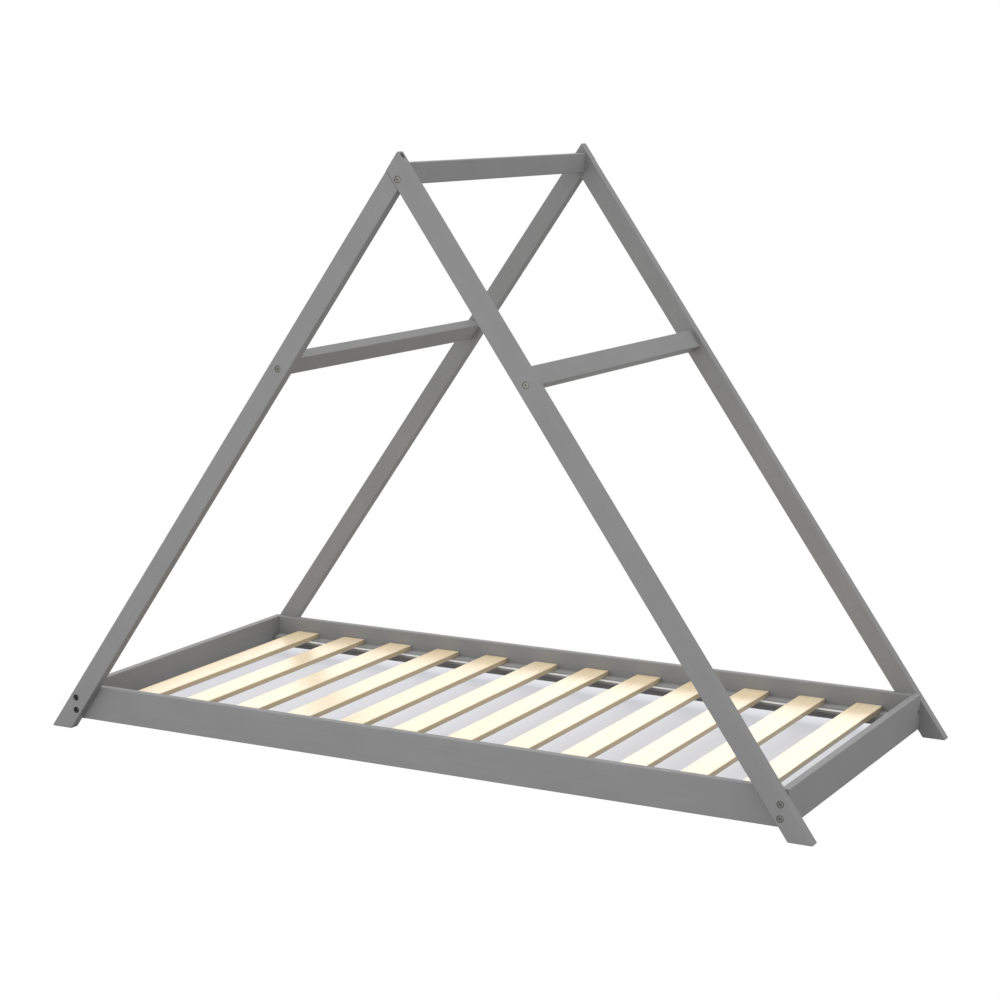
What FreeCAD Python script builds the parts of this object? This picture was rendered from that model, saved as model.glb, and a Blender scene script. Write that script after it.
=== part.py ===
"""House bed: a low slatted bed frame that stands between two timber A-frames.

X runs along the bed, Y from the front A-frame to the rear one, and Z up from the floor.
The rear A-frame is the front one turned half a turn about Z.
"""
import FreeCAD, Part
import os
import re

import Sketcher

# Driving dimensions, in millimetres and degrees
SIZES = (
    ("inner_length", 1904, "clear length between the end rails"),
    ("inner_width", 904, "clear width between the side rails"),
    ("rail_height", 90, "height of all four rails"),
    ("rail_thickness", 20, "thickness of all four rails"),
    ("rail_lift", 23, "gap between the floor and the rails"),
    ("timber_width", 50, "broad side of the legs and beams"),
    ("timber_thickness", 28, "narrow side of the legs and beams"),
    ("leg_angle", 55, "slope of the legs from the floor"),
    ("leg_outset", 1.2, "how far a leg's centre line passes outside the middle of the end rail"),
    ("ridge_drop", 25, "from the apex down to the top of the ridge beam"),
    ("cross_beam_reach", 1216, "up a leg's outer edge, from the floor to the middle of a cross beam"),
    ("edge_round", 2.5, "rounding of the painted timber's long edges"),
    ("ledge_width", 34, "how far a ledge stands in from its side rail"),
    ("ledge_height", 15, "height of a ledge"),
    ("ledge_drop", 51, "from the top of the rails down to the top of the ledges"),
    ("ledge_end_gap", 8, "gap between a ledge's end and the end rail"),
    ("slat_width", 70, "width of a slat"),
    ("slat_thickness", 14, "thickness of a slat"),
    ("slat_side_play", 2, "gap between a slat's end and the side rail"),
    ("slat_end_gap", 70, "mean gap between the outer slats and the end rails"),
    ("slat_shift", -3, "how far the roll of slats lies off the middle"),
    ("slat_round", 2, "rounding of a slat's long edges"),
    ("tape_width", 15, "width of the tapes under the slats"),
    ("tape_thickness", 1, "thickness of the tapes"),
    ("tape_inset", 54, "from a side rail to the middle of the tape beside it"),
    ("frame_screw_diameter", 7, "shank of a screw that holds a leg to a rail or beam"),
    ("frame_screw_length", 75, "shank of such a screw"),
    ("frame_screw_head_diameter", 16, "head of such a screw"),
    ("frame_screw_head_height", 4, "height of such a screw's head"),
    ("frame_screw_socket", 5, "hexagon socket of such a screw, across its flats"),
    ("frame_sink_diameter", 17, "sunk hole for such a screw's head"),
    ("frame_sink_depth", 5, "depth of that sunk hole"),
    ("foot_screw_spacing", 33, "between the two screws at a foot"),
    ("beam_fixing_spacing", 26, "between the screw and the dowel at a beam's end"),
    ("socket_depth", 2.5, "depth of all hexagon sockets"),
    ("head_chamfer", 0.8, "bevel of all screw heads"),
    ("screw_play", 0.5, "radial gap between a screw and the piece that its head clamps"),
    ("dowel_diameter", 8, "all dowels"),
    ("dowel_length", 34, "all dowels"),
    ("dowel_in_leg", 10, "depth of a dowel in a leg's face or edge"),
    ("dowel_in_end_rail", 12, "depth of a dowel in an end rail"),
    ("rail_dowel_inset", 12, "from a rail's edge to the dowel beside it"),
    ("corner_screw_diameter", 7, "shank of a screw at the bed frame's corners and at the apex"),
    ("corner_screw_length", 70, "shank of such a screw"),
    ("corner_screw_head_diameter", 12, "head of such a screw"),
    ("corner_screw_head_height", 3, "height of such a screw's head"),
    ("corner_screw_socket", 4, "hexagon socket of such a screw, across its flats"),
    ("corner_sink_diameter", 14, "sunk hole for such a screw's head"),
    ("rail_sink_depth", 8, "depth of the sunk holes in the end rails"),
    ("apex_sink_depth", 14, "depth of the sunk holes at the apex"),
    ("apex_screw_offset", 10, "from the butted leg's outer edge to the apex screw"),
    ("ledge_screw_diameter", 4, "shank of a ledge screw"),
    ("ledge_screw_length", 45, "shank of a ledge screw"),
    ("ledge_screw_head_diameter", 8, "head of a ledge screw"),
    ("ledge_screw_head_height", 2.5, "height of a ledge screw's head"),
    ("ledge_screw_inset", 94, "from a ledge's end to its first screw"),
    ("fit_gap", 0.05, "radial gap round dowels, and round screws in the wood that they bite into"),
    ("end_gap", 0.5, "gap past the end of a dowel or screw in its hole"),
)
SLAT_COUNT = 12
SCREWS_PER_LEDGE = 6

# Places that several pieces share, worked out from the driving dimensions
RAIL_TOP = "(rail_lift + rail_height)"
RAIL_MIDDLE = "(rail_lift + rail_height / 2)"
END_RAIL_X = "((inner_length + rail_thickness) / 2)"
SIDE_RAIL_Y = "((inner_width + rail_thickness) / 2)"
FOOT_SCREW_LEVELS = [f"({RAIL_MIDDLE} {sign} foot_screw_spacing / 2)" for sign in "+-"]
LEG_INNER_Y = "(inner_width / 2 + rail_thickness)"
LEG_OUTER_Y = "(inner_width / 2 + rail_thickness + timber_thickness)"
# At the end rail's half height, a leg's centre line lies the outset away from the rail's middle
LEG_MIDDLE_X = f"({END_RAIL_X} + leg_outset)"
FOOT_X = f"({LEG_MIDDLE_X} + (timber_width / 2 + {RAIL_MIDDLE} * cos(leg_angle)) / sin(leg_angle))"
APEX_Z = f"({FOOT_X} * tan(leg_angle))"
RIDGE_Z = f"({APEX_Z} - ridge_drop - timber_width / 2)"
CROSS_X = f"({FOOT_X} - cross_beam_reach * cos(leg_angle) - timber_width / 2 * sin(leg_angle))"
CROSS_Z = "(cross_beam_reach * sin(leg_angle) - timber_width / 2 * cos(leg_angle))"
FIXING_RUN = "(beam_fixing_spacing / 2 * cos(leg_angle))"
FIXING_RISE = "(beam_fixing_spacing / 2 * sin(leg_angle))"
LEDGE_TOP = f"({RAIL_TOP} - ledge_drop)"
LEDGE_HALF = "(inner_length / 2 - ledge_end_gap)"
SLAT_PITCH = f"((inner_length - 2 * slat_end_gap - slat_width) / {SLAT_COUNT - 1})"
FRAME_SCREW_BITE = "(frame_screw_length - (timber_thickness - frame_sink_depth))"
CORNER_SCREW_BITE = "(corner_screw_length - (rail_thickness - rail_sink_depth))"

Y_AXIS = FreeCAD.Vector(0, 1, 0)
Z_AXIS = FreeCAD.Vector(0, 0, 1)

doc = FreeCAD.newDocument("house_bed")
sheet = doc.addObject("Spreadsheet::Sheet", "Sizes")
for row, (alias, number, meaning) in enumerate(SIZES, start=1):
    sheet.set(f"A{row}", meaning)
    sheet.set(f"B{row}", str(number))
    sheet.setAlias(f"B{row}", alias)
doc.recompute()
ALIASES = {alias for alias, number, meaning in SIZES}

subparts = []


def on_sheet(text):
    """Return an expression in which each size's name points at its cell."""
    def cell(match):
        word = match.group()
        return f"Sizes.{word}" if word in ALIASES else word
    return re.sub(r"[a-z_]+", cell, text)


def value(text):
    """Return the number that an expression of sizes stands for."""
    return float(sheet.evalExpression(on_sheet(text)))


def bind(thing, path, text):
    """Tie one property to an expression of sizes."""
    thing.setExpression(path, on_sheet(text))


def place(thing, x="0", y="0", z="0", axis=Z_AXIS, angle="0"):
    """Turn a piece about an axis through its origin and put it in its place."""
    thing.Placement = FreeCAD.Placement(FreeCAD.Vector(), FreeCAD.Rotation(axis, 0))
    bind(thing, "Placement.Base.x", x)
    bind(thing, "Placement.Base.y", y)
    bind(thing, "Placement.Base.z", z)
    bind(thing, "Placement.Rotation.Angle", f"({angle}) * 1 deg")


def new_body(label, keep=True):
    """Start a body, which is handed in unless it is only copied."""
    body = doc.addObject("PartDesign::Body", label)
    body.Label = label
    if keep:
        subparts.append(body)
    return body


def sketch_on(body, name, role, offset="0"):
    """Start a sketch on one of the body's origin planes, moved along the plane's normal."""
    plane = next(feature for feature in body.Origin.OriginFeatures if feature.Role == role)
    sketch = body.newObject("Sketcher::SketchObject", f"{body.Label}_{name}_sketch")
    sketch.AttachmentSupport = [(plane, "")]
    sketch.MapMode = "FlatFace"
    bind(sketch, "AttachmentOffset.Base.z", offset)
    return sketch


def hold_point(sketch, geometry, end, name, across, up):
    """Fix one point of a sketch at its two measures from the sketch's origin."""
    for kind, letter, text in (("DistanceX", "x", across), ("DistanceY", "y", up)):
        rule = Sketcher.Constraint(kind, -1, 1, geometry, end, value(text))
        index = sketch.addConstraint(rule)
        sketch.renameConstraint(index, f"{name}_{letter}")
        bind(sketch, f"Constraints.{name}_{letter}", text)


def outline(sketch, corners):
    """Draw a closed outline through corners given as pairs of expressions."""
    points = [FreeCAD.Vector(value(across), value(up), 0) for across, up in corners]
    for start, end in zip(points, points[1:] + points[:1]):
        sketch.addGeometry(Part.LineSegment(start, end))
    for line in range(len(points)):
        sketch.addConstraint(Sketcher.Constraint("Coincident", line, 2, (line + 1) % len(points), 1))
    for line, (across, up) in enumerate(corners):
        hold_point(sketch, line, 1, f"corner{line + 1}", across, up)


def rectangle(sketch, left, right, low, high):
    """Draw a rectangle between two measures across and two up."""
    outline(sketch, [(left, low), (right, low), (right, high), (left, high)])


def circles(sketch, centres, diameter):
    """Draw equal circles at centres given as pairs of expressions."""
    for count, (across, up) in enumerate(centres, start=1):
        middle = FreeCAD.Vector(value(across), value(up), 0)
        ring = sketch.addGeometry(Part.Circle(middle, Z_AXIS, value(diameter) / 2))
        hold_point(sketch, ring, 3, f"hole{count}", across, up)
        index = sketch.addConstraint(Sketcher.Constraint("Diameter", ring, value(diameter)))
        sketch.renameConstraint(index, f"hole{count}_diameter")
        bind(sketch, f"Constraints.hole{count}_diameter", diameter)


def extrude(body, sketch, length, along_normal=True):
    """Make a body's first solid from its outline."""
    pad = body.newObject("PartDesign::Pad", f"{body.Label}_pad")
    pad.Profile = sketch
    pad.Reversed = not along_normal
    bind(pad, "Length", length)
    doc.recompute()


def finish_cut(body, before):
    """Recompute a cut and make sure that it has taken wood away."""
    doc.recompute()
    if body.Shape.Volume >= before:
        raise ValueError(f"{body.Tip.Label} cuts nothing")


def pocket(body, name, sketch, depth, along_normal):
    """Cut a sketch into the body, along its plane's normal or against it."""
    before = body.Shape.Volume
    feature = body.newObject("PartDesign::Pocket", f"{body.Label}_{name}")
    feature.Profile = sketch
    feature.Reversed = along_normal
    bind(feature, "Length", depth)
    finish_cut(body, before)


def drill(body, name, role, offset, centres, diameter, depth, along_normal):
    """Drill equal round holes square to one of the body's planes."""
    sketch = sketch_on(body, name, role, offset)
    circles(sketch, centres, diameter)
    pocket(body, name, sketch, depth, along_normal)


def round_edges(body, radius, keep_edge):
    """Round those edges of the body that a test picks."""
    base = body.Tip
    picked = [index for index, edge in enumerate(base.Shape.Edges, start=1) if keep_edge(edge)]
    fillet = body.newObject("PartDesign::Fillet", f"{body.Label}_rounding")
    fillet.Base = (base, [f"Edge{index}" for index in picked])
    bind(fillet, "Radius", radius)
    doc.recompute()


def is_long(edge):
    """Say whether an edge runs along a timber and not across it."""
    return edge.Length > value("2 * rail_height")


def is_long_or_underfoot(edge):
    """Say whether an edge of a leg runs along it or lies on the floor."""
    return is_long(edge) or edge.BoundBox.ZMax < value("edge_round")


def turn(body, name, sketch, corners, cut=False):
    """Revolve a half section, drawn above its axis, into a solid or out of one."""
    outline(sketch, corners)
    before = body.Shape.Volume if cut else 0
    kind = "PartDesign::Groove" if cut else "PartDesign::Revolution"
    feature = body.newObject(kind, f"{body.Label}_{name}")
    feature.Profile = sketch
    feature.ReferenceAxis = (sketch, ["H_Axis"])
    feature.Angle = 360
    if cut:
        finish_cut(body, before)
    else:
        doc.recompute()


def fixed_group(label, original, spots):
    """Hand in copies of one piece of hardware as a group of separate solids."""
    copies = []
    for count, spot in enumerate(spots, start=1):
        copy = doc.addObject("App::Link", f"{label}_{count}")
        copy.LinkedObject = original
        place(copy, **spot)
        copies.append(copy)
    group = doc.addObject("Part::Compound", label)
    group.Label = label
    group.Links = copies
    subparts.append(group)


# Legs: an A-frame has one leg that runs through to the apex and one that butts against it

SEAM_TOP = ("-timber_width / (2 * sin(leg_angle))", f"{APEX_Z} - timber_width / (2 * cos(leg_angle))")
SEAM_MIDDLE = ("-timber_width / (4 * sin(leg_angle))", f"{APEX_Z} - 3 * timber_width / (4 * cos(leg_angle))")
CROTCH = ("0", f"{APEX_Z} - timber_width / cos(leg_angle)")
# The apex screw's line enters the through leg this far down its outer edge
APEX_ENTRY_REACH = "(apex_screw_offset / sin(2 * leg_angle))"
APEX_ENTRY = (f"{APEX_ENTRY_REACH} * cos(leg_angle)", f"{APEX_Z} - {APEX_ENTRY_REACH} * sin(leg_angle)")
FOOT_INNER_X = f"({FOOT_X} - timber_width / sin(leg_angle))"
RIDGE_SCREW = ("0", f"{RIDGE_Z} - beam_fixing_spacing / 2")
RIDGE_DOWEL = ("0", f"{RIDGE_Z} + beam_fixing_spacing / 2")


def cross_fixing(side, kind):
    """Return the X and Z of a cross beam's screw or dowel, on the beam's tilted middle line."""
    step = 1 if kind == "screw" else -1
    return f"{side} * ({CROSS_X} + {step} * {FIXING_RUN})", f"{CROSS_Z} - {step} * {FIXING_RISE}"


def apex_sketch(body, name, start):
    """Start a sketch in the middle of the A-frame, with its X axis from a point down the butted leg."""
    sketch = sketch_on(body, name, "XZ_Plane", "-timber_thickness / 2")
    sketch.AttachmentOffset.Rotation = FreeCAD.Rotation(Z_AXIS, 0)
    bind(sketch, "AttachmentOffset.Base.x", start[0])
    bind(sketch, "AttachmentOffset.Base.y", start[1])
    bind(sketch, "AttachmentOffset.Rotation.Angle", "(180 + leg_angle) * 1 deg")
    return sketch


def drill_apex(body):
    """Cut the apex screw's stepped hole and the apex dowel's hole, which both legs share."""
    sink = "corner_sink_diameter / 2"
    shank = "corner_screw_diameter / 2 + fit_gap"
    tip = "apex_sink_depth + corner_screw_length + end_gap"
    steps = [("-corner_sink_diameter", "0"), ("-corner_sink_diameter", sink), ("apex_sink_depth", sink),
             ("apex_sink_depth", shank), (tip, shank), (tip, "0")]
    turn(body, "apex_screw_hole", apex_sketch(body, "apex_screw_hole", APEX_ENTRY), steps, cut=True)
    radius = "dowel_diameter / 2 + fit_gap"
    top = "-dowel_in_leg - end_gap"
    foot = "dowel_length - dowel_in_leg + end_gap"
    ends = [(top, "0"), (top, radius), (foot, radius), (foot, "0")]
    turn(body, "apex_dowel_hole", apex_sketch(body, "apex_dowel_hole", SEAM_MIDDLE), ends, cut=True)


def place_frame_piece(body, at_rear):
    """Put a piece of an A-frame at the front, or turn it round to the rear."""
    if at_rear:
        place(body, y=LEG_OUTER_Y, angle="180")
    else:
        place(body, y=f"-{LEG_OUTER_Y}")


def make_leg(label, runs_through, at_rear):
    """Make one leg from its side outline, with its rounded edges and its holes."""
    body = new_body(label)
    side = 1 if runs_through else -1
    profile = sketch_on(body, "side", "XZ_Plane")
    top = [("0", APEX_Z), SEAM_TOP] if runs_through else [SEAM_TOP, CROTCH]
    outline(profile, [(f"{side} * {FOOT_X}", "0"), *top, (f"{side} * {FOOT_INNER_X}", "0")])
    extrude(body, profile, "timber_thickness", along_normal=False)
    round_edges(body, "edge_round", is_long_or_underfoot)

    screws = [(f"{side} * {END_RAIL_X}", level) for level in FOOT_SCREW_LEVELS]
    screws.append(cross_fixing(side, "screw"))
    dowels = [cross_fixing(side, "dowel")]
    if runs_through:
        screws.append(RIDGE_SCREW)
        dowels.append(RIDGE_DOWEL)
    drill(body, "screw_sinks", "XZ_Plane", "0", screws, "frame_sink_diameter", "frame_sink_depth", False)
    drill(body, "screw_holes", "XZ_Plane", "0", screws, "frame_screw_diameter + 2 * screw_play",
          "timber_thickness", False)
    drill(body, "dowel_holes", "XZ_Plane", "-timber_thickness", dowels, "dowel_diameter + 2 * fit_gap",
          "dowel_in_leg + end_gap", True)
    drill_apex(body)
    place_frame_piece(body, at_rear)


make_leg("front_right_leg", runs_through=True, at_rear=False)
make_leg("front_left_leg", runs_through=False, at_rear=False)
make_leg("rear_left_leg", runs_through=True, at_rear=True)
make_leg("rear_right_leg", runs_through=False, at_rear=True)


# Beams: three equal timbers between the A-frames, the cross beams tilted with the legs

def make_beam(label, x, z, tilt):
    """Make one beam with a screw hole and a dowel hole in each end."""
    body = new_body(label)
    length = f"2 * {LEG_INNER_Y}"
    section = sketch_on(body, "section", "XZ_Plane")
    rectangle(section, "-timber_thickness / 2", "timber_thickness / 2",
              "-timber_width / 2", "timber_width / 2")
    extrude(body, section, length, along_normal=False)
    round_edges(body, "edge_round", is_long)

    screw_spot = [("0", "-beam_fixing_spacing / 2")]
    dowel_spot = [("0", "beam_fixing_spacing / 2")]
    for end, offset, along_normal in (("front", "0", False), ("rear", f"-{length}", True)):
        drill(body, f"{end}_screw_hole", "XZ_Plane", offset, screw_spot,
              "frame_screw_diameter + 2 * fit_gap", f"{FRAME_SCREW_BITE} + end_gap", along_normal)
        drill(body, f"{end}_dowel_hole", "XZ_Plane", offset, dowel_spot, "dowel_diameter + 2 * fit_gap",
              "dowel_length - dowel_in_leg + end_gap", along_normal)
    place(body, x=x, y=f"-{LEG_INNER_Y}", z=z, axis=Y_AXIS, angle=tilt)


make_beam("ridge_beam", "0", RIDGE_Z, "0")
make_beam("left_cross_beam", f"-{CROSS_X}", CROSS_Z, "90 - leg_angle")
make_beam("right_cross_beam", CROSS_X, CROSS_Z, "leg_angle - 90")


# Bed frame: end rails between the legs, side rails between the end rails

RAIL_DOWEL_LEVELS = ("(rail_lift + rail_dowel_inset)", f"({RAIL_TOP} - rail_dowel_inset)")
LEDGE_SCREW_X = [f"({LEDGE_HALF} - ledge_screw_inset) * {2 * count / (SCREWS_PER_LEDGE - 1) - 1}"
                 for count in range(SCREWS_PER_LEDGE)]
LEDGE_MIDDLE = f"({LEDGE_TOP} - ledge_height / 2)"
LEDGE_SCREW_SINK = "ledge_screw_head_height + end_gap"


def make_side_rail(label, at_rear):
    """Make one side rail with the holes in its ends and for its ledge."""
    body = new_body(label)
    face = sketch_on(body, "face", "XZ_Plane")
    rectangle(face, "-inner_length / 2", "inner_length / 2", "rail_lift", RAIL_TOP)
    extrude(body, face, "rail_thickness", along_normal=False)
    round_edges(body, "edge_round", is_long)

    screw_spot = [("rail_thickness / 2", RAIL_MIDDLE)]
    dowels = [("rail_thickness / 2", level) for level in RAIL_DOWEL_LEVELS]
    ends = (("left", "-inner_length / 2", True), ("right", "inner_length / 2", False))
    for end, offset, along_normal in ends:
        drill(body, f"{end}_screw_hole", "YZ_Plane", offset, screw_spot,
              "corner_screw_diameter + 2 * fit_gap", f"{CORNER_SCREW_BITE} + end_gap", along_normal)
        drill(body, f"{end}_dowel_holes", "YZ_Plane", offset, dowels, "dowel_diameter + 2 * fit_gap",
              "dowel_length - dowel_in_end_rail + end_gap", along_normal)
    ledge_screws = [(x, LEDGE_MIDDLE) for x in LEDGE_SCREW_X]
    drill(body, "ledge_screw_holes", "XZ_Plane", "-rail_thickness", ledge_screws,
          "ledge_screw_diameter + 2 * fit_gap",
          f"ledge_screw_length + {LEDGE_SCREW_SINK} - ledge_width + end_gap", True)
    if at_rear:
        place(body, y=LEG_INNER_Y, angle="180")
    else:
        place(body, y=f"-{LEG_INNER_Y}")


def make_end_rail(label, at_left):
    """Make one end rail with the holes for the legs' screws and for the side rails."""
    body = new_body(label)
    face = sketch_on(body, "face", "YZ_Plane")
    rectangle(face, f"-{LEG_INNER_Y}", LEG_INNER_Y, "rail_lift", RAIL_TOP)
    extrude(body, face, "rail_thickness")
    round_edges(body, "edge_round", is_long)

    foot_screws = [("rail_thickness / 2", level) for level in FOOT_SCREW_LEVELS]
    for end, offset, along_normal in (("front", LEG_INNER_Y, False), ("rear", f"-{LEG_INNER_Y}", True)):
        drill(body, f"{end}_screw_holes", "XZ_Plane", offset, foot_screws,
              "frame_screw_diameter + 2 * fit_gap", f"{FRAME_SCREW_BITE} + end_gap", along_normal)
    corner_screws = [(f"{side} * {SIDE_RAIL_Y}", RAIL_MIDDLE) for side in (-1, 1)]
    drill(body, "corner_sinks", "YZ_Plane", "rail_thickness", corner_screws, "corner_sink_diameter",
          "rail_sink_depth", False)
    drill(body, "corner_holes", "YZ_Plane", "rail_thickness", corner_screws,
          "corner_screw_diameter + 2 * screw_play", "rail_thickness", False)
    dowels = [(f"{side} * {SIDE_RAIL_Y}", level) for side in (-1, 1) for level in RAIL_DOWEL_LEVELS]
    drill(body, "dowel_holes", "YZ_Plane", "0", dowels, "dowel_diameter + 2 * fit_gap",
          "dowel_in_end_rail + end_gap", True)
    if at_left:
        place(body, x="-inner_length / 2", angle="180")
    else:
        place(body, x="inner_length / 2")


def make_ledge(label, at_rear):
    """Make one ledge with the sunk holes for its screws."""
    body = new_body(label)
    face = sketch_on(body, "face", "XZ_Plane")
    rectangle(face, f"-{LEDGE_HALF}", LEDGE_HALF, f"{LEDGE_TOP} - ledge_height", LEDGE_TOP)
    extrude(body, face, "ledge_width", along_normal=False)
    screws = [(x, LEDGE_MIDDLE) for x in LEDGE_SCREW_X]
    drill(body, "screw_sinks", "XZ_Plane", "-ledge_width", screws,
          "ledge_screw_head_diameter + 2 * fit_gap", LEDGE_SCREW_SINK, True)
    drill(body, "screw_holes", "XZ_Plane", "-ledge_width", screws,
          "ledge_screw_diameter + 2 * fit_gap", "ledge_width", True)
    if at_rear:
        place(body, y="inner_width / 2", angle="180")
    else:
        place(body, y="-inner_width / 2")


make_side_rail("front_side_rail", at_rear=False)
make_side_rail("rear_side_rail", at_rear=True)
make_end_rail("left_end_rail", at_left=True)
make_end_rail("right_end_rail", at_left=False)
make_ledge("front_slat_ledge", at_rear=False)
make_ledge("rear_slat_ledge", at_rear=True)


# Slat roll: loose slats on the ledges, held in line by two tapes under them

def make_slat(number):
    """Make one slat with its long edges rounded."""
    body = new_body(f"slat_{number:02d}")
    section = sketch_on(body, "section", "XZ_Plane")
    rectangle(section, "-slat_width / 2", "slat_width / 2", "0", "slat_thickness")
    extrude(body, section, "inner_width - 2 * slat_side_play", along_normal=False)
    round_edges(body, "slat_round", is_long)
    steps_from_middle = number - (SLAT_COUNT + 1) / 2
    place(body, x=f"slat_shift + {steps_from_middle} * {SLAT_PITCH}",
          y="slat_side_play - inner_width / 2", z=LEDGE_TOP)


def make_tape(label, side):
    """Make one tape, from the first slat's outer edge to the last one's."""
    body = new_body(label)
    face = sketch_on(body, "face", "XY_Plane")
    half_length = f"({SLAT_PITCH} * {(SLAT_COUNT - 1) / 2} + slat_width / 2)"
    rectangle(face, f"-{half_length}", half_length, "-tape_width / 2", "tape_width / 2")
    extrude(body, face, "tape_thickness", along_normal=False)
    place(body, x="slat_shift", y=f"{side} * (inner_width / 2 - tape_inset)", z=LEDGE_TOP)


for slat_number in range(1, SLAT_COUNT + 1):
    make_slat(slat_number)
make_tape("front_slat_tape", -1)
make_tape("rear_slat_tape", 1)


# Hardware: one piece of each kind, turned about its X axis, and its copies in their places

def headed_section(head_diameter, head_height, diameter, length):
    """Return the half section of a screw, whose head seats at the origin."""
    head = f"{head_diameter} / 2"
    shank = f"{diameter} / 2"
    top = f"-{head_height}"
    return [(top, "0"), (top, f"{head} - head_chamfer"), (f"{top} + head_chamfer", head), ("0", head),
            ("0", shank), (length, shank), (length, "0")]


def cut_socket(body, sketch, across_flats):
    """Sink a hexagon socket into a screw's head."""
    reach = f"{across_flats} / sqrt(3)"
    outline(sketch, [(f"{reach} * cos({angle})", f"{reach} * sin({angle})") for angle in range(0, 360, 60)])
    pocket(body, "socket", sketch, "socket_depth", True)


def make_screw(kind):
    """Make one screw of a kind along X, with its head's seat at the origin."""
    body = new_body(kind, keep=False)
    section = headed_section(f"{kind}_head_diameter", f"{kind}_head_height",
                             f"{kind}_diameter", f"{kind}_length")
    turn(body, "turned", sketch_on(body, "turned", "XZ_Plane"), section)
    if f"{kind}_socket" in ALIASES:
        cut_socket(body, sketch_on(body, "socket", "YZ_Plane", f"-{kind}_head_height"), f"{kind}_socket")
    return body


def make_dowel():
    """Make one dowel from the origin along X."""
    body = new_body("dowel", keep=False)
    ring = sketch_on(body, "end", "YZ_Plane")
    circles(ring, [("0", "0")], "dowel_diameter")
    extrude(body, ring, "dowel_length")
    return body


def facing_pair(x, z, start):
    """Return the places of a front and a rear piece that both start at one depth and point inwards."""
    return [dict(x=x, y=f"-{start}", z=z, angle="90"), dict(x=x, y=start, z=z, angle="-90")]


def apex_pair(start, reach):
    """Return the places of two apex pieces, a reach down the butted legs from a front A-frame point."""
    x = f"{start[0]} - ({reach}) * cos(leg_angle)"
    z = f"{start[1]} - ({reach}) * sin(leg_angle)"
    middle = f"({LEG_INNER_Y} + timber_thickness / 2)"
    return [dict(x=x, y=f"-{middle}", z=z, axis=Y_AXIS, angle="180 - leg_angle"),
            dict(x=f"-({x})", y=middle, z=z, axis=Y_AXIS, angle="leg_angle")]


FRAME_SCREW_SEAT = f"({LEG_OUTER_Y} - frame_sink_depth)"
frame_screw = make_screw("frame_screw")
for side_name, side in (("left", -1), ("right", 1)):
    foot_places = [spot for level in FOOT_SCREW_LEVELS
                   for spot in facing_pair(f"{side} * {END_RAIL_X}", level, FRAME_SCREW_SEAT)]
    fixed_group(f"{side_name}_foot_screws", frame_screw, foot_places)
    beam_places = facing_pair(*cross_fixing(side, "screw"), FRAME_SCREW_SEAT)
    fixed_group(f"{side_name}_beam_screws", frame_screw, beam_places)
fixed_group("ridge_screws", frame_screw, facing_pair(*RIDGE_SCREW, FRAME_SCREW_SEAT))

dowel = make_dowel()
beam_dowel_places = [spot for x, z in (RIDGE_DOWEL, cross_fixing(-1, "dowel"), cross_fixing(1, "dowel"))
                     for spot in facing_pair(x, z, f"({LEG_INNER_Y} + dowel_in_leg)")]
fixed_group("beam_dowels", dowel, beam_dowel_places)
rail_dowel_places = [dict(x=f"{end} * (inner_length / 2 + dowel_in_end_rail)", y=f"{side} * {SIDE_RAIL_Y}",
                          z=level, angle="180" if end == 1 else "0")
                     for end in (-1, 1) for side in (-1, 1) for level in RAIL_DOWEL_LEVELS]
fixed_group("rail_dowels", dowel, rail_dowel_places)

corner_screw = make_screw("corner_screw")
end_screw_places = [dict(x=f"{end} * (inner_length / 2 + rail_thickness - rail_sink_depth)",
                         y=f"{side} * {SIDE_RAIL_Y}", z=RAIL_MIDDLE, angle="180" if end == 1 else "0")
                    for end in (-1, 1) for side in (-1, 1)]
fixed_group("end_rail_screws", corner_screw, end_screw_places)

fixed_group("apex_screws", corner_screw, apex_pair(APEX_ENTRY, "apex_sink_depth"))
fixed_group("apex_dowels", dowel, apex_pair(SEAM_MIDDLE, "-dowel_in_leg"))

ledge_screw = make_screw("ledge_screw")
ledge_seat = f"(inner_width / 2 - ledge_width + {LEDGE_SCREW_SINK})"
ledge_screw_places = [dict(x=x, y=f"{side} * {ledge_seat}", z=LEDGE_MIDDLE, angle=f"{side * 90}")
                      for side in (-1, 1) for x in LEDGE_SCREW_X]
fixed_group("ledge_screws", ledge_screw, ledge_screw_places)


# Test every object, then write each sub-part to its own file

doc.recompute()
for thing in doc.Objects:
    if "Invalid" in thing.State or "Error" in thing.State:
        raise ValueError(f"{thing.Label} failed: {thing.State}")
for part in subparts:
    if part.Shape.isNull() or not part.Shape.isValid() or not part.Shape.Solids:
        raise ValueError(f"{part.Label} has no valid solid")
os.makedirs("parts", exist_ok=True)
for part in subparts:
    part.Shape.exportStep(f"parts/{part.Label}.step")
whole = Part.makeCompound([part.Shape for part in subparts]).BoundBox
print(f"{len(subparts)} sub-parts, {whole.XLength:.1f} x {whole.YLength:.1f} x {whole.ZLength:.1f} mm")
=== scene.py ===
"""Finishes, tapes, staples and studio for the house bed, laid out as a Blender add-on and run as a script."""

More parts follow.
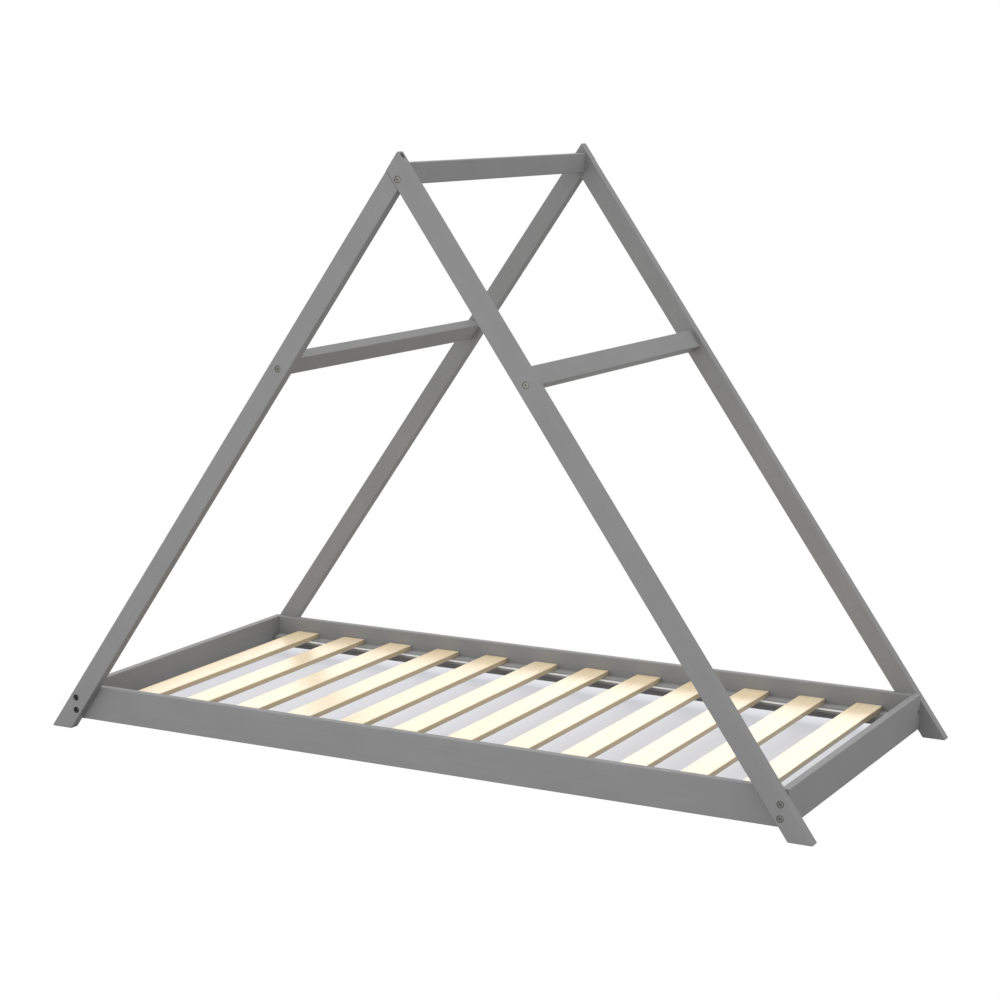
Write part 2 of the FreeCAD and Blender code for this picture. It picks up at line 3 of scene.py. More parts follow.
import bpy
import numpy as np
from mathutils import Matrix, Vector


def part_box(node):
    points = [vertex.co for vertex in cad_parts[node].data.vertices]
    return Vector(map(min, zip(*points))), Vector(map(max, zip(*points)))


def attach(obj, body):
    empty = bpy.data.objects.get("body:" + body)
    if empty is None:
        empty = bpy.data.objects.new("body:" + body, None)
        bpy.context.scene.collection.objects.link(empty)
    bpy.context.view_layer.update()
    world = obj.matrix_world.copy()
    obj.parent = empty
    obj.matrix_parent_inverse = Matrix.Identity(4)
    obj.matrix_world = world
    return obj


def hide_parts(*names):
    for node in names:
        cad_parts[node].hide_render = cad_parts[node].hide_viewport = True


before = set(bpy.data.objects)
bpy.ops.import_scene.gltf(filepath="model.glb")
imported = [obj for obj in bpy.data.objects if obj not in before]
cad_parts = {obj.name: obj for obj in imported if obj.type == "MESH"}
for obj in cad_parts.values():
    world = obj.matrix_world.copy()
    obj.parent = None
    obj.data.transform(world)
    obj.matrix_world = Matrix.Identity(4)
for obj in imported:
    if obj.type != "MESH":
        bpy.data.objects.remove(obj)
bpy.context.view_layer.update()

bl_info = {
    "name": "House bed",
    "version": (1, 0, 0),
    "blender": (4, 5, 0),
    "location": "View3D > Sidebar > House bed",
    "description": "Finishes the timber, slats and screws of a house bed, adds its tapes and sets the studio",
    "category": "Object",
}

# Which way the grain runs in painted timber, as the turn of the X axis about X, Y and Z in degrees
LEG_SLOPE = 55
GRAIN_ALONG_BED = (0, 0, 0)
GRAIN_ACROSS_BED = (0, 0, 90)
GRAIN_UP_RIGHT_LEGS = (0, LEG_SLOPE, 0)
GRAIN_UP_LEFT_LEGS = (0, -LEG_SLOPE, 0)
PAINTED_TIMBER = {
    "side_rails": (GRAIN_ALONG_BED, ("front_side_rail", "rear_side_rail")),
    "ledges": (GRAIN_ALONG_BED, ("front_slat_ledge", "rear_slat_ledge")),
    "end_rails_and_beams": (GRAIN_ACROSS_BED, ("left_end_rail", "right_end_rail", "ridge_beam",
                                               "left_cross_beam", "right_cross_beam")),
    "right_legs": (GRAIN_UP_RIGHT_LEGS, ("front_right_leg", "rear_right_leg")),
    "left_legs": (GRAIN_UP_LEFT_LEGS, ("front_left_leg", "rear_left_leg")),
}
SLATS = tuple(f"slat_{number:02d}" for number in range(1, 13))
TAPES = {"front_slat_tape": "front_tape", "rear_slat_tape": "rear_tape"}
# These heads take a darker copy of the zinc as painted shade, where they look dark in their holes
SHADED_SCREWS = ("left_foot_screws", "end_rail_screws", "apex_screws")
BRIGHT_SCREWS = ("right_foot_screws", "left_beam_screws", "right_beam_screws", "ridge_screws", "ledge_screws")
DOWELS = ("beam_dowels", "rail_dowels", "apex_dowels")

# Points along and across a tape
TAPE_POINTS = (379, 7)

# Points round a staple's wire and along each of its bends, and the quads that close its tips
WIRE_SIDES = 8
BEND_POINTS = 5
WIRE_TIP = np.array([(0, 1, 2, 7), (7, 2, 3, 6), (6, 3, 4, 5)])

# Roughness of the steel finishes
ZINC_ROUGHNESS = 0.42
SHADED_STEEL_ROUGHNESS = 0.45
WIRE_ROUGHNESS = 0.3

# Lamps: setting with the power, width and height and place in metres, turn from straight down in degrees
LAMPS = {
    "key_lamp": ("key_power", (3.0, 2.0), (-0.4, -3.7, 0.75), (88, 0, -6)),
    "top_lamp": ("top_power", (5.0, 5.0), (0.0, 0.0, 7.0), (0, 0, 0)),
    "back_lamp": ("back_power", (7.0, 2.2), (-1.5, 4.9, 1.1), (-90, 0, 28.7)),
    "back_right_lamp": ("back_right_power", (2.4, 2.2), (-1.2, 5.2, 1.1), (-90, 0, 20)),
}

# Camera, fitted to the straight edges of the bed: metres, degrees, millimetres for its sensor and lens, and
# shares of the picture's width for its shift
CAMERA_PLACE = (2.690725, -5.177275, 1.619690)
CAMERA_TURN = (79.607, 0, 28.696)
CAMERA_SENSOR = 36.0
CAMERA_LENS = 84.27
CAMERA_SHIFT = (0.0526, 0.0217)


def linear(hex_colour):
    """Return a hex colour in sRGB as linear red, green and blue."""
    coded = np.array([int(hex_colour[start:start + 2], 16) for start in (1, 3, 5)]) / 255
    return tuple(np.where(coded <= 0.04045, coded / 12.92, ((coded + 0.055) / 1.055) ** 2.4))


def opaque(colour, share=1.0):
    """Return a share of a colour with full alpha, as shader sockets take it."""
    return (*(share * np.array(colour)), 1.0)


def colour_setting(name, description, hex_colour):
    """Return a colour property with its default given as hex."""
    return bpy.props.FloatVectorProperty(name=name, description=description, subtype="COLOR", size=3, min=0,
                                         max=1, default=linear(hex_colour))


def length_setting(name, description, metres):
    """Return a length property with its default in metres."""
    return bpy.props.FloatProperty(name=name, description=description, subtype="DISTANCE", unit="LENGTH",
                                   min=0, precision=5, default=metres)


def place_setting(name, description, metres):
    """Return a property of three lengths with its default in metres."""
    return bpy.props.FloatVectorProperty(name=name, description=description, subtype="TRANSLATION",
                                         unit="LENGTH", size=3, precision=3, default=metres)


def power_setting(name, description, watts):
    """Return a lamp's power with its default in watts."""
    return bpy.props.FloatProperty(name=name, description=description, unit="POWER", min=0, default=watts)


class HouseBedPaint(bpy.types.PropertyGroup):
    """Grey paint on the timber"""
    light: colour_setting("Raised streaks", "Paint where the brush left it thick", "#868686")
    dark: colour_setting("Thin streaks", "Paint where the brush left it thin", "#818181")
    # The ledges' paint is drawn lighter than the rest: painted light that lifts the shade under the slats
    ledge_painted_light: bpy.props.FloatProperty(name="Ledge lightness", min=0, default=1.3,
                                             description="How light the ledges' paint is against the rest")
    streak_width: length_setting("Streak width", "Width of a brush streak, drawn coarser than real to show",
                                 0.005)
    streak_length: length_setting("Streak length", "Length of a brush streak", 0.3)
    cloud_width: length_setting("Cloud width", "Width of slow changes of tone, about a hand's width", 0.12)
    peel_width: length_setting("Peel width", "Between the bumps of the paint's orange peel", 0.0015)


class HouseBedPine(bpy.types.PropertyGroup):
    """Pine of the slats"""
    early: colour_setting("Early wood", "Pale wood between the rings", "#f2e1c1")
    late: colour_setting("Late wood", "Darker wood of the rings", "#e4cca2")
    # The sides' tone is painted shade: the slats' sides and ends are drawn darker than their faces
    sides: colour_setting("Sides", "Sawn sides and ends, which soak up more lacquer", "#b8a787")
    ring_spacing: length_setting("Ring spacing", "Between two rings on a slat's face", 0.007)
    ring_swing: length_setting("Ring swing", "How far a ring can bend to one side", 0.06)
    bend_width: length_setting("Bend width", "Width of wood that bends together", 0.035)
    bend_length: length_setting("Bend length", "Length of a ring's bend along the slat", 0.5)
    fibre_width: length_setting("Fibre width", "Width of a fibre streak, drawn coarser than real to show",
                                0.0012)
    fibre_length: length_setting("Fibre length", "Length of a fibre streak", 0.08)


class HouseBedTape(bpy.types.PropertyGroup):
    """Woven tape under the slats"""
    colour: colour_setting("Tape", "White polyester yarn", "#e2e1dd")
    thickness: length_setting("Thickness", "Thickness of the tape", 0.0007)
    sag: length_setting("Sag", "How far the tape hangs between two slats", 0.0005)
    thread: length_setting("Thread spacing", "Between two threads, drawn coarser than real to show", 0.0014)


class HouseBedHardware(bpy.types.PropertyGroup):
    """Screws, staples and dowels"""
    zinc: colour_setting("Zinc", "Zinc-plated steel, dulled to a grey", "#706f6c")
    # A darker copy of the zinc, as painted shade on heads that look dark in their holes
    shaded_steel: colour_setting("Black", "Blackened steel", "#3c3c3b")
    bloom_width: length_setting("Bloom width", "Width of the plating's uneven patches", 0.002)
    wire_width: length_setting("Wire width", "Width of a staple's wire", 0.0012)
    wire_height: length_setting("Wire height", "Height of a staple's wire", 0.0006)
    crown: length_setting("Crown", "Width of a staple", 0.010)
    leg: length_setting("Staple leg", "How deep a staple goes", 0.004)
    bend: length_setting("Staple bend", "Radius at a staple's corners", 0.001)
    offset: length_setting("Staple offset", "From a slat's middle line to each of its two staples", 0.016)
    beech: colour_setting("Beech", "Pinkish tan of the dowels", "#d8b48a")
    fleck: colour_setting("Flecks", "Short dark flecks of the dowels", "#b98e63")
    fleck_width: length_setting("Fleck width", "Width of a fleck", 0.0006)


class HouseBedStudio(bpy.types.PropertyGroup):
    """Floor and lamps"""
    floor: colour_setting("Floor", "Matt floor that throws light back at the bed", "#a2a2a4")
    # A paler tone painted on the floor as shade under the bed
    painted_floor_shade: colour_setting("Floor below", "Floor in the bed's shade", "#e5e6ec")
    floor_reach: length_setting("Floor reach", "From the middle of the floor to its edges", 40.0)
    shade_middle: place_setting("Shade middle", "Middle of the bed's shade, on the side away from the light",
                                (-0.14, 0.15, 0))
    shade_half: place_setting("Shade half size", "From the middle of the shade to where it fades",
                              (0.965, 0.3, 0))
    shade_fade: place_setting("Shade fade", "How far the shade takes to fade out in X and in Y",
                              (0.11, 0.25, 1))
    shadow: bpy.props.FloatProperty(name="Shadow", description="How much of the shadow the floor shows",
                                    subtype="FACTOR", min=0, max=1, default=0.35)
    sky: bpy.props.FloatProperty(name="Sky", description="Light from all round", subtype="FACTOR", min=0,
                                 max=1, default=0.96)
    key_power: power_setting("Key", "Power of the large lamp at the front", 46)
    top_power: power_setting("Top", "Power of the lamp overhead", 112)
    back_power: power_setting("Back", "Power of the low lamp behind the bed", 48)
    back_right_power: power_setting("Back right", "Power of the narrow lamp that the right slats mirror", 10)


class HouseBedSettings(bpy.types.PropertyGroup):
    """All settings of the house bed"""
    paint: bpy.props.PointerProperty(type=HouseBedPaint, name="Paint", description="Grey paint on the timber")
    pine: bpy.props.PointerProperty(type=HouseBedPine, name="Pine", description="Pine of the slats")
    tape: bpy.props.PointerProperty(type=HouseBedTape, name="Tape", description="Woven tape under the slats")
    hardware: bpy.props.PointerProperty(type=HouseBedHardware, name="Hardware",
                                        description="Screws, staples and dowels")
    studio: bpy.props.PointerProperty(type=HouseBedStudio, name="Studio", description="Floor and lamps")


def new_material(name):
    """Return an empty node material and its tree."""
    material = bpy.data.materials.new(name)
    material.use_nodes = True
    material.node_tree.nodes.clear()
    return material, material.node_tree


def add(tree, kind, inputs=None, **settings):
    """Add a node with its settings; an input is a plain value or another node's output."""
    made = tree.nodes.new(kind)
    for name, value in settings.items():
        setattr(made, name, value)
    for name, value in (inputs or {}).items():
        if isinstance(value, bpy.types.NodeSocket):
            tree.links.new(value, made.inputs[name])
        else:
            made.inputs[name].default_value = value
    return made


def put_on(names, material):
    """Give CAD nodes one material in all their slots."""
    for name in names:
        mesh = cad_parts[name].data
        mesh.materials.clear()
        mesh.materials.append(material)


def grey_paint(name, grain, painted_light, paint):
    """Satin acrylic paint brushed along planed pine: an even grey with faint long streaks and soft sheen."""
    material, tree = new_material(name)
    place = add(tree, "ShaderNodeTexCoord").outputs["Object"]
    along = add(tree, "ShaderNodeMapping", {
        "Vector": place, "Rotation": tuple(np.radians(grain)),
        "Scale": (paint.streak_length, paint.streak_width, paint.streak_width)}, vector_type="TEXTURE")
    streaks = add(tree, "ShaderNodeTexNoise", {"Vector": along.outputs["Vector"], "Scale": 1.0, "Detail": 3.0,
                                               "Roughness": 0.6})
    # Slow changes of tone, as in light on a hand-painted board
    clouds = add(tree, "ShaderNodeTexNoise", {"Vector": place, "Scale": 1 / paint.cloud_width, "Detail": 1.0})
    both = add(tree, "ShaderNodeMath", {0: streaks.outputs["Fac"], 1: clouds.outputs["Fac"]}, operation="ADD")
    share = add(tree, "ShaderNodeMapRange", {"Value": both.outputs[0], "From Min": 0.7, "From Max": 1.3})
    # A share above 1 lightens the paint as painted light, used on the ledges
    tone = add(tree, "ShaderNodeMix", {0: share.outputs[0], 6: opaque(paint.dark, painted_light),
                                       7: opaque(paint.light, painted_light)}, data_type="RGBA")
    sheen = add(tree, "ShaderNodeMapRange", {"Value": streaks.outputs["Fac"], "To Min": 0.52, "To Max": 0.66})
    # Orange peel lies under the streaks
    peel = add(tree, "ShaderNodeTexNoise", {"Vector": place, "Scale": 1 / paint.peel_width, "Detail": 1.0})
    fine = add(tree, "ShaderNodeBump", {"Height": peel.outputs["Fac"], "Strength": 0.1, "Distance": 0.00005})
    bump = add(tree, "ShaderNodeBump", {"Height": streaks.outputs["Fac"], "Strength": 0.1, "Distance": 0.0001,
                                        "Normal": fine.outputs["Normal"]})
    shader = add(tree, "ShaderNodeBsdfPrincipled", {
        "Base Color": tone.outputs[2], "Roughness": sheen.outputs[0], "IOR": 1.5, "Specular IOR Level": 0.25,
        "Normal": bump.outputs["Normal"]})
    add(tree, "ShaderNodeOutputMaterial", {"Surface": shader.outputs[0]})
    return material


def planed_pine(pine):
    """Planed pine under clear lacquer: pale wood with soft rings along each slat, glossy at a low angle."""
    material, tree = new_material("lacquered_pine")
    surface = add(tree, "ShaderNodeTexCoord")
    place = surface.outputs["Object"]
    # Rings are a sine across the slat, bent to the side by a noise that is long along the slat
    stretched = add(tree, "ShaderNodeMapping", {
        "Vector": place, "Scale": (pine.bend_width, pine.bend_length, pine.bend_width)},
        vector_type="TEXTURE").outputs["Vector"]
    bend = add(tree, "ShaderNodeTexNoise", {"Vector": stretched, "Scale": 1.0, "Detail": 2.0})
    across = add(tree, "ShaderNodeSeparateXYZ", {"Vector": place}).outputs["X"]
    reach = add(tree, "ShaderNodeMath", {0: bend.outputs["Fac"], 1: pine.ring_swing, 2: across},
                operation="MULTIPLY_ADD")
    phase = add(tree, "ShaderNodeMath", {0: reach.outputs[0], 1: 2 * np.pi / pine.ring_spacing},
                operation="MULTIPLY")
    wave = add(tree, "ShaderNodeMath", {0: phase.outputs[0]}, operation="SINE")
    fibres = add(tree, "ShaderNodeMapping", {
        "Vector": place, "Scale": (pine.fibre_width, pine.fibre_length, pine.fibre_width)},
        vector_type="TEXTURE").outputs["Vector"]
    fibre = add(tree, "ShaderNodeTexNoise", {"Vector": fibres, "Scale": 1.0, "Detail": 2.0})
    # A noise three times as coarse as the bends sets one slat a little apart from the next
    boards = add(tree, "ShaderNodeTexNoise", {"Vector": stretched, "Scale": 0.3, "Detail": 0.0})
    # Fibres count most, and rings and boards are faint beside them
    grain = add(tree, "ShaderNodeMath", {0: wave.outputs[0], 1: 0.3, 2: fibre.outputs["Fac"]},
                operation="MULTIPLY_ADD")
    mixed = add(tree, "ShaderNodeMath", {0: boards.outputs["Fac"], 1: 0.5, 2: grain.outputs[0]},
                operation="MULTIPLY_ADD")
    share = add(tree, "ShaderNodeMapRange", {"Value": mixed.outputs[0], "From Min": 0.25, "From Max": 1.25})
    face = add(tree, "ShaderNodeMix", {0: share.outputs[0], 6: opaque(pine.early), 7: opaque(pine.late)},
               data_type="RGBA")
    # Faces that look up or down keep the wood's colour; the sides and ends take a darker tone as painted
    # shade
    facing = add(tree, "ShaderNodeSeparateXYZ", {"Vector": surface.outputs["Normal"]})
    up_or_down = add(tree, "ShaderNodeMath", {0: facing.outputs["Z"]}, operation="ABSOLUTE")
    tone = add(tree, "ShaderNodeMix", {0: up_or_down.outputs[0], 6: opaque(pine.sides), 7: face.outputs[2]},
               data_type="RGBA")
    bump = add(tree, "ShaderNodeBump", {"Height": grain.outputs[0], "Strength": 0.15, "Distance": 0.00005})
    shader = add(tree, "ShaderNodeBsdfPrincipled", {
        "Base Color": tone.outputs[2], "Roughness": 0.27, "IOR": 1.55, "Normal": bump.outputs["Normal"]})
    add(tree, "ShaderNodeOutputMaterial", {"Surface": shader.outputs[0]})
    return material


def plated_steel(name, colour, roughness, bloom_width):
    """Machined and plated steel: a dull metal gleam, slightly uneven from the plating bath."""
    material, tree = new_material(name)
    place = add(tree, "ShaderNodeTexCoord").outputs["Object"]
    # Patches differ by a fifth in tone and a little in gloss
    bloom = add(tree, "ShaderNodeTexNoise", {"Vector": place, "Scale": 1 / bloom_width, "Detail": 2.0})
    tone = add(tree, "ShaderNodeMix", {0: bloom.outputs["Fac"], 6: opaque(colour, 0.8), 7: opaque(colour)},
               data_type="RGBA")
    gloss = add(tree, "ShaderNodeMapRange", {"Value": bloom.outputs["Fac"], "To Min": roughness - 0.08,
                                             "To Max": roughness + 0.08})
    shader = add(tree, "ShaderNodeBsdfPrincipled", {
        "Base Color": tone.outputs[2], "Metallic": 1.0, "Roughness": gloss.outputs[0]})
    add(tree, "ShaderNodeOutputMaterial", {"Surface": shader.outputs[0]})
    return material


def turned_beech(hardware):
    """Turned beech rod: pinkish tan with short dark flecks."""
    material, tree = new_material("beech_rod")
    place = add(tree, "ShaderNodeTexCoord").outputs["Object"]
    flecks = add(tree, "ShaderNodeTexNoise", {"Vector": place, "Scale": 1 / hardware.fleck_width,
                                              "Detail": 2.0})
    tone = add(tree, "ShaderNodeMix", {0: flecks.outputs["Fac"], 6: opaque(hardware.fleck),
                                       7: opaque(hardware.beech)}, data_type="RGBA")
    shader = add(tree, "ShaderNodeBsdfPrincipled", {"Base Color": tone.outputs[2], "Roughness": 0.6})
    add(tree, "ShaderNodeOutputMaterial", {"Surface": shader.outputs[0]})
    return material


def woven_polyester(tape):
    """Plain-woven polyester tape: white yarn whose crossing threads give a fine basket of small ridges."""
    material, tree = new_material("woven_polyester")
    place = add(tree, "ShaderNodeUVMap", uv_map="metres").outputs["UV"]
    threads = add(tree, "ShaderNodeMapping", {"Vector": place, "Scale": (tape.thread, tape.thread, 1)},
                  vector_type="TEXTURE")
    parts = add(tree, "ShaderNodeSeparateXYZ", {"Vector": threads.outputs["Vector"]})
    turns = [add(tree, "ShaderNodeMath", {0: parts.outputs[axis], 1: np.pi}, operation="MULTIPLY").outputs[0]
             for axis in ("X", "Y")]
    waves = [add(tree, "ShaderNodeMath", {0: turn}, operation="SINE").outputs[0] for turn in turns]
    crossing = add(tree, "ShaderNodeMath", {0: waves[0], 1: waves[1]}, operation="MULTIPLY")
    share = add(tree, "ShaderNodeMapRange", {"Value": crossing.outputs[0], "From Min": -1.0})
    tone = add(tree, "ShaderNodeMix", {0: share.outputs[0], 6: opaque(tape.colour, 0.82),
                                       7: opaque(tape.colour)}, data_type="RGBA")
    bump = add(tree, "ShaderNodeBump", {"Height": share.outputs[0], "Strength": 0.6, "Distance": 0.0002})
    shader = add(tree, "ShaderNodeBsdfPrincipled", {
        "Base Color": tone.outputs[2], "Roughness": 0.8, "Sheen Weight": 0.2,
        "Normal": bump.outputs["Normal"]})
    add(tree, "ShaderNodeOutputMaterial", {"Surface": shader.outputs[0]})
    return material


def seen_directly(tree):
    """Return 1 for rays from the camera, a mirror or glass, and 0 for diffuse light."""
    path = add(tree, "ShaderNodeLightPath")
    either = add(tree, "ShaderNodeMath", {0: path.outputs["Is Camera Ray"], 1: path.outputs["Is Glossy Ray"]},
                 operation="MAXIMUM")
    total = add(tree, "ShaderNodeMath", {0: either.outputs[0], 1: path.outputs["Is Transmission Ray"]},
                operation="MAXIMUM")
    return total.outputs[0]


def white_floor(studio):
    """Matt white studio floor: plain white to the eye, with a painted pale shade and a soft real shadow at
    the bed.
    """
    material, tree = new_material("white_floor")
    # The painted shade and the share of the real shadow are full inside a rectangle and fade out beside it,
    # over their own distance in X and in Y
    place = add(tree, "ShaderNodeTexCoord").outputs["Object"]
    middle = add(tree, "ShaderNodeVectorMath", {0: place, 1: studio.shade_middle}, operation="SUBTRACT")
    spread = add(tree, "ShaderNodeVectorMath", {0: middle.outputs["Vector"]}, operation="ABSOLUTE")
    past = add(tree, "ShaderNodeVectorMath", {0: spread.outputs["Vector"], 1: studio.shade_half},
               operation="SUBTRACT")
    beside = add(tree, "ShaderNodeVectorMath", {0: past.outputs["Vector"], 1: (0, 0, 0)}, operation="MAXIMUM")
    faded = add(tree, "ShaderNodeVectorMath", {0: beside.outputs["Vector"], 1: studio.shade_fade},
                operation="DIVIDE")
    away = add(tree, "ShaderNodeVectorMath", {0: faded.outputs["Vector"]}, operation="LENGTH")
    plain = add(tree, "ShaderNodeMapRange", {"Value": away.outputs["Value"]}, interpolation_type="SMOOTHSTEP")
    # To the eye the floor is white, with the paler tone painted in as shade under the bed
    seen_colour = add(tree, "ShaderNodeMix", {0: plain.outputs[0], 6: opaque(studio.painted_floor_shade),
                                              7: (1, 1, 1, 1)}, data_type="RGBA")
    # Under the bed the matt floor takes the same pale tone and throws more light back at the bed
    matt_colour = add(tree, "ShaderNodeMix", {0: plain.outputs[0], 6: opaque(studio.painted_floor_shade),
                                              7: opaque(studio.floor)}, data_type="RGBA")
    share = add(tree, "ShaderNodeMapRange", {"Value": plain.outputs[0], "To Min": 1 - studio.shadow})
    part = add(tree, "ShaderNodeMath", {0: seen_directly(tree), 1: share.outputs[0]}, operation="MULTIPLY")
    matt = add(tree, "ShaderNodeBsdfDiffuse", {"Color": matt_colour.outputs[2]})
    glow = add(tree, "ShaderNodeEmission", {"Color": seen_colour.outputs[2], "Strength": 1.0})
    blend = add(tree, "ShaderNodeMixShader", {0: part.outputs[0], 1: matt.outputs[0], 2: glow.outputs[0]})
    add(tree, "ShaderNodeOutputMaterial", {"Surface": blend.outputs[0]})
    return material


def white_room(studio):
    """White all round: full white to the eye, and a little less as light on the bed."""
    world = bpy.data.worlds.new("white_room")
    world.use_nodes = True
    tree = world.node_tree
    tree.nodes.clear()
    level = add(tree, "ShaderNodeMapRange", {"Value": seen_directly(tree), "To Min": studio.sky,
                                             "To Max": 1.0})
    sky = add(tree, "ShaderNodeBackground", {"Color": (1, 1, 1, 1), "Strength": level.outputs[0]})
    add(tree, "ShaderNodeOutputWorld", {"Surface": sky.outputs[0]})
    return world


def grid_faces(rows, columns, closed=False):
    """Return the quads of a grid of points in rows; a closed grid joins its last column to its first."""
    across = columns if closed else columns - 1
    row, column = np.meshgrid(np.arange(rows - 1), np.arange(across), indexing="ij")
    right = (column + 1) % columns
    corners = (row * columns + column, row * columns + right, (row + 1) * columns + right,
               (row + 1) * columns + column)
    return np.stack(corners, axis=-1).reshape(-1, 4)


def new_piece(name, points, faces, material):
    """Put points and faces into a new smooth mesh object at the origin."""
    mesh = bpy.data.meshes.new(name)
    mesh.from_pydata(points.reshape(-1, 3).tolist(), [], faces.tolist())
    mesh.materials.append(material)
    mesh.polygons.foreach_set("use_smooth", np.ones(len(mesh.polygons), bool))
    piece = bpy.data.objects.new(name, mesh)
    bpy.context.scene.collection.objects.link(piece)
    return piece


def slat_edges():
    """Return the low and high X of each slat, from the first to the last."""
    boxes = [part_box(name) for name in SLATS]
    return np.array([low.x for low, high in boxes]), np.array([high.x for low, high in boxes])


def tape_depth(x, sag):
    """Return the tape's depth below the slats: 0 under a slat, a parabola as deep as the sag between two."""
    low, high = slat_edges()
    before = np.clip(np.searchsorted(high, x) - 1, 0, len(low) - 2)
    share = np.clip((x - high[before]) / (low[before + 1] - high[before]), 0, 1)
    return 4 * sag * share * (1 - share)


def staple_path(hardware):
    """Return a staple's line in Y and Z: down a leg, a quarter circle, the crown, and the same back up."""
    half = hardware.crown / 2
    angle = np.linspace(0, np.pi / 2, BEND_POINTS)
    across = np.concatenate(([half], half - hardware.bend + hardware.bend * np.cos(angle)))
    up = np.concatenate(([hardware.leg], hardware.bend - hardware.bend * np.sin(angle)))
    return np.concatenate((np.stack((across, up), -1), np.stack((-across, up), -1)[::-1]))


def wire_round(path, hardware):
    """Return rings round a path: ellipses, as wide along X as the wire and as tall square to the path."""
    ahead = np.gradient(path, axis=0)
    ahead /= np.linalg.norm(ahead, axis=1, keepdims=True)
    turn = np.linspace(0, 2 * np.pi, WIRE_SIDES, endpoint=False)
    wide = np.broadcast_to(hardware.wire_width / 2 * np.cos(turn), (len(path), WIRE_SIDES))
    tall = hardware.wire_height / 2 * np.sin(turn)
    return np.stack((wide, path[:, :1] - ahead[:, 1:] * tall, path[:, 1:] + ahead[:, :1] * tall), axis=-1)


def wire_faces(rings):
    """Return the quads of a wire: its wall, turned to point outwards, and both of its closed tips."""
    wall = grid_faces(rings, WIRE_SIDES, closed=True)[:, ::-1]
    return np.concatenate((wall, WIRE_TIP, WIRE_TIP[:, ::-1] + (rings - 1) * WIRE_SIDES))


def hang_lamp(name, power, size, place, turn):
    """Hang a soft lamp of some width and height, turned in degrees from straight down."""
    lamp = bpy.data.lights.new(name, "AREA")
    lamp.energy = power
    lamp.shape = "RECTANGLE"
    lamp.size, lamp.size_y = size
    holder = bpy.data.objects.new(name, lamp)
    holder.location = place
    holder.rotation_euler = np.radians(turn)
    holder.visible_camera = False
    bpy.context.scene.collection.objects.link(holder)


class HOUSEBED_OT_set_studio(bpy.types.Operator):
    """Lay the floor, hang the lamps and place the camera"""
    bl_idname = "house_bed.set_studio"
    bl_label = "Set the studio"

    def execute(self, context):
        scene = context.scene
        studio = scene.house_bed.studio
        scene.view_settings.view_transform = "Standard"
        scene.world = white_room(studio)
        corners = studio.floor_reach * np.array([(-1, -1, 0), (1, -1, 0), (1, 1, 0), (-1, 1, 0)], float)
        floor = new_piece("floor", corners, np.array([[0, 1, 2, 3]]), white_floor(studio))
        for name, (power, size, place, turn) in LAMPS.items():
            hang_lamp(name, getattr(studio, power), size, place, turn)

        camera = bpy.data.cameras.new("camera")
        camera.sensor_width = CAMERA_SENSOR
        camera.lens = CAMERA_LENS
        camera.shift_x, camera.shift_y = CAMERA_SHIFT
        stand = bpy.data.objects.new("camera", camera)
        stand.location = CAMERA_PLACE
        stand.rotation_euler = np.radians(CAMERA_TURN)
        scene.collection.objects.link(stand)
        scene.camera = stand
        return {"FINISHED"}


class HOUSEBED_OT_paint_timber(bpy.types.Operator):
    """Paint the legs, beams, rails and ledges, with streaks along each one's grain"""
    bl_idname = "house_bed.paint_timber"
    bl_label = "Paint the timber"

    def execute(self, context):
        paint = context.scene.house_bed.paint
        for group, (grain, names) in PAINTED_TIMBER.items():
            # The ledges' paint is lightened as painted light against the shade between the slats
            painted_light = paint.ledge_painted_light if group == "ledges" else 1.0
            put_on(names, grey_paint(f"grey_paint_{group}", grain, painted_light, paint))
        return {"FINISHED"}


class HOUSEBED_OT_finish_slats(bpy.types.Operator):
    """Lacquer the pine slats"""
    bl_idname = "house_bed.finish_slats"
    bl_label = "Finish the slats"

    def execute(self, context):
        put_on(SLATS, planed_pine(context.scene.house_bed.pine))
        return {"FINISHED"}


class HOUSEBED_OT_finish_hardware(bpy.types.Operator):
    """Plate the screws and show the dowels as beech"""
    bl_idname = "house_bed.finish_hardware"
    bl_label = "Finish the hardware"

    def execute(self, context):
        hardware = context.scene.house_bed.hardware
        zinc = plated_steel("zinc_plated_steel", hardware.zinc, ZINC_ROUGHNESS, hardware.bloom_width)
        put_on(BRIGHT_SCREWS, zinc)
        # The heads that look dark in their holes get a darker copy of the zinc as painted shade
        shaded_steel = plated_steel("blackened_steel", hardware.shaded_steel, SHADED_STEEL_ROUGHNESS, hardware.bloom_width)
        put_on(SHADED_SCREWS, shaded_steel)
        put_on(DOWELS, turned_beech(hardware))
        return {"FINISHED"}


class HOUSEBED_OT_weave_tapes(bpy.types.Operator):
    """Stretch the two woven tapes under the slats"""
    bl_idname = "house_bed.weave_tapes"
    bl_label = "Weave the tapes"

    def execute(self, context):
        tape = context.scene.house_bed.tape
        material = woven_polyester(tape)
        for node, name in TAPES.items():
            low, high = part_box(node)
            # A point lies at (x, y, slats' underside - half thickness - depth at x), in metres
            x, y = np.meshgrid(np.linspace(low.x, high.x, TAPE_POINTS[0]),
                               np.linspace(low.y, high.y, TAPE_POINTS[1]), indexing="ij")
            z = high.z - tape.thickness / 2 - tape_depth(x, tape.sag)
            piece = new_piece(name, np.stack((x, y, z), axis=-1), grid_faces(*x.shape), material)
            corners = np.zeros(len(piece.data.loops), int)
            piece.data.loops.foreach_get("vertex_index", corners)
            flat = np.stack((x - low.x, y - low.y), axis=-1).reshape(-1, 2)[corners]
            piece.data.uv_layers.new(name="metres").data.foreach_set("uv", flat.ravel())
            wall = piece.modifiers.new("thickness", "SOLIDIFY")
            wall.thickness = tape.thickness
            wall.offset = 0
            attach(piece, "slat_roll")
            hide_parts(node)
        return {"FINISHED"}


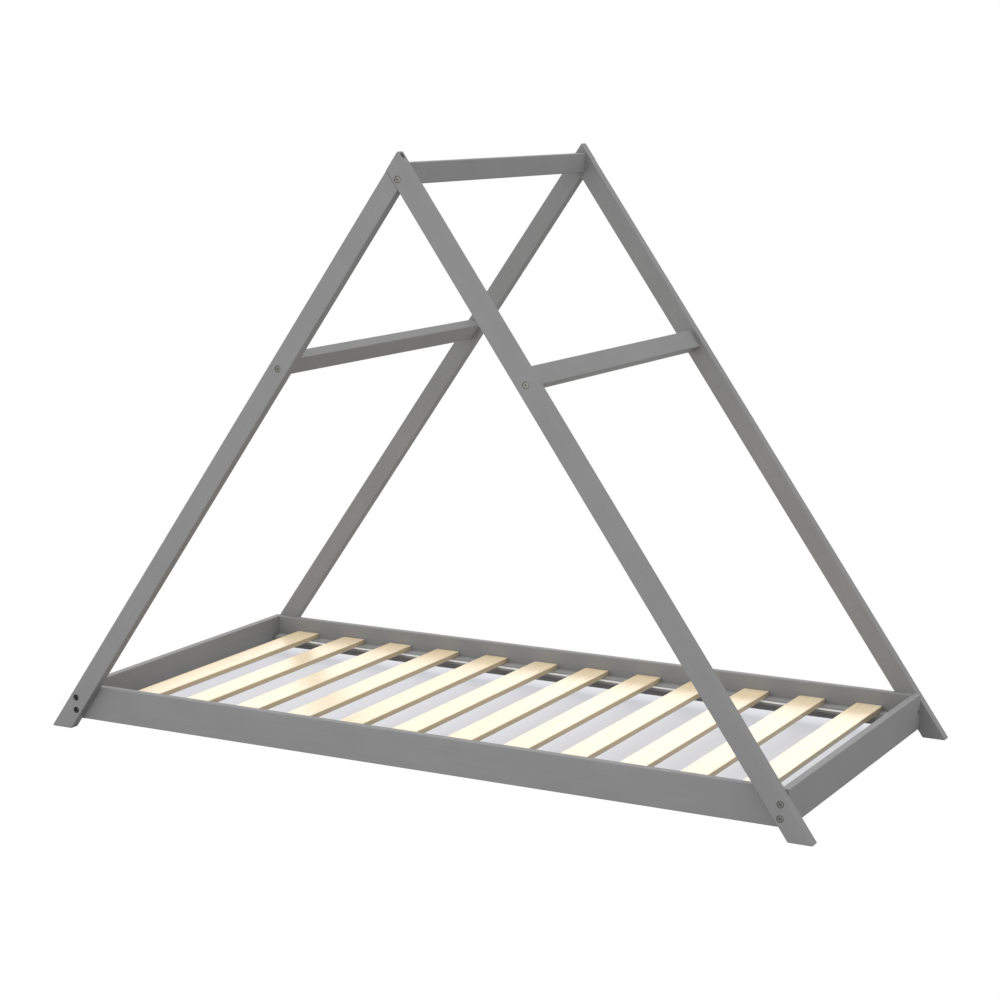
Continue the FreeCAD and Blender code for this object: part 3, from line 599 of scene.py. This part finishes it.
class HOUSEBED_OT_drive_staples(bpy.types.Operator):
    """Drive two staples through the tape into each slat"""
    bl_idname = "house_bed.drive_staples"
    bl_label = "Drive the staples"

    def execute(self, context):
        hardware = context.scene.house_bed.hardware
        thickness = context.scene.house_bed.tape.thickness
        material = plated_steel("galvanised_wire", hardware.zinc, WIRE_ROUGHNESS, hardware.bloom_width)
        path = staple_path(hardware)
        staple = wire_round(path, hardware)
        faces = wire_faces(len(path))
        low, high = slat_edges()
        centres = ((low + high)[:, None] / 2 + np.array([-hardware.offset, hardware.offset])).ravel()
        first_points = np.arange(len(centres))[:, None, None] * (len(path) * WIRE_SIDES)
        for node, name in TAPES.items():
            box_low, box_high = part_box(node)
            y = np.full_like(centres, (box_low.y + box_high.y) / 2)
            z = np.full_like(centres, box_high.z - thickness - hardware.wire_height / 2)
            points = np.stack((centres, y, z), axis=-1)[:, None, None, :] + staple
            piece = new_piece(f"{name}_staples", points, (faces + first_points).reshape(-1, 4), material)
            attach(piece, "slat_roll")
        return {"FINISHED"}


STEPS = (HOUSEBED_OT_set_studio, HOUSEBED_OT_paint_timber, HOUSEBED_OT_finish_slats,
         HOUSEBED_OT_finish_hardware, HOUSEBED_OT_weave_tapes, HOUSEBED_OT_drive_staples)


class HOUSEBED_PT_build(bpy.types.Panel):
    """List the steps that dress the house bed"""
    bl_idname = "HOUSEBED_PT_build"
    bl_label = "House bed"
    bl_space_type = "VIEW_3D"
    bl_region_type = "UI"
    bl_category = "House bed"

    def draw(self, context):
        for step in STEPS:
            self.layout.operator(step.bl_idname)


CLASSES = (HouseBedPaint, HouseBedPine, HouseBedTape, HouseBedHardware, HouseBedStudio, HouseBedSettings,
           *STEPS, HOUSEBED_PT_build)


def register():
    """Register the classes and give the scene its settings."""
    for item in CLASSES:
        bpy.utils.register_class(item)
    bpy.types.Scene.house_bed = bpy.props.PointerProperty(type=HouseBedSettings)


def unregister():
    """Take the settings and the classes away again."""
    del bpy.types.Scene.house_bed
    for item in reversed(CLASSES):
        bpy.utils.unregister_class(item)


def main():
    """Dress the bed step by step."""
    register()
    bpy.ops.house_bed.set_studio()
    bpy.ops.house_bed.paint_timber()
    bpy.ops.house_bed.finish_slats()
    bpy.ops.house_bed.finish_hardware()
    bpy.ops.house_bed.weave_tapes()
    bpy.ops.house_bed.drive_staples()


if __name__ == "__main__":
    main()
